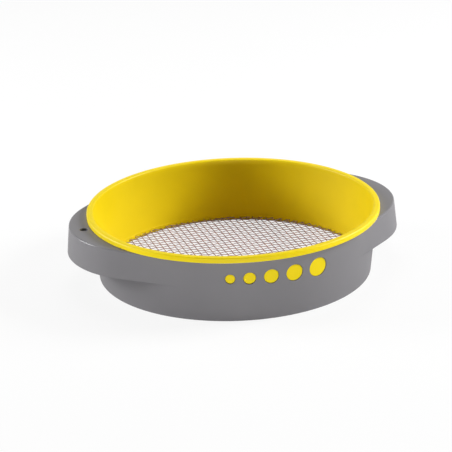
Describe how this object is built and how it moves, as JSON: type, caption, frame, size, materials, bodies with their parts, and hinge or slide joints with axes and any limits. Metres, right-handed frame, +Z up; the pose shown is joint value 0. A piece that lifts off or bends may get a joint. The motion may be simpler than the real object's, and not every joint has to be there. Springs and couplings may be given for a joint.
{
  "type": "sand sieve",
  "caption": "Round hand sieve for sand: a grey moulded shell with side grips, a yellow inner bowl with a rounded lip, and a square wire mesh floor that the bowl's foot holds.",
  "frame": {"origin": "on the ground, under the middle of the round frame", "axes": "+Z up, X through the two grips with the hanging hole at -X, -Y towards the front with the row of windows"},
  "size_m": [0.2768, 0.24, 0.0555],
  "materials": {
    "grey_shell": "fine satin grain, mid grey",
    "yellow_bowl": "smooth semi-gloss, bright yellow",
    "mesh_wire": "drawn wire, dull zinc coat"
  },
  "bodies": {
    "root": {"outer_shell": "grey_shell", "inner_bowl": "yellow_bowl", "warp_wires": "mesh_wire", "weft_wires": "mesh_wire"}
  },
  "joints": []
}
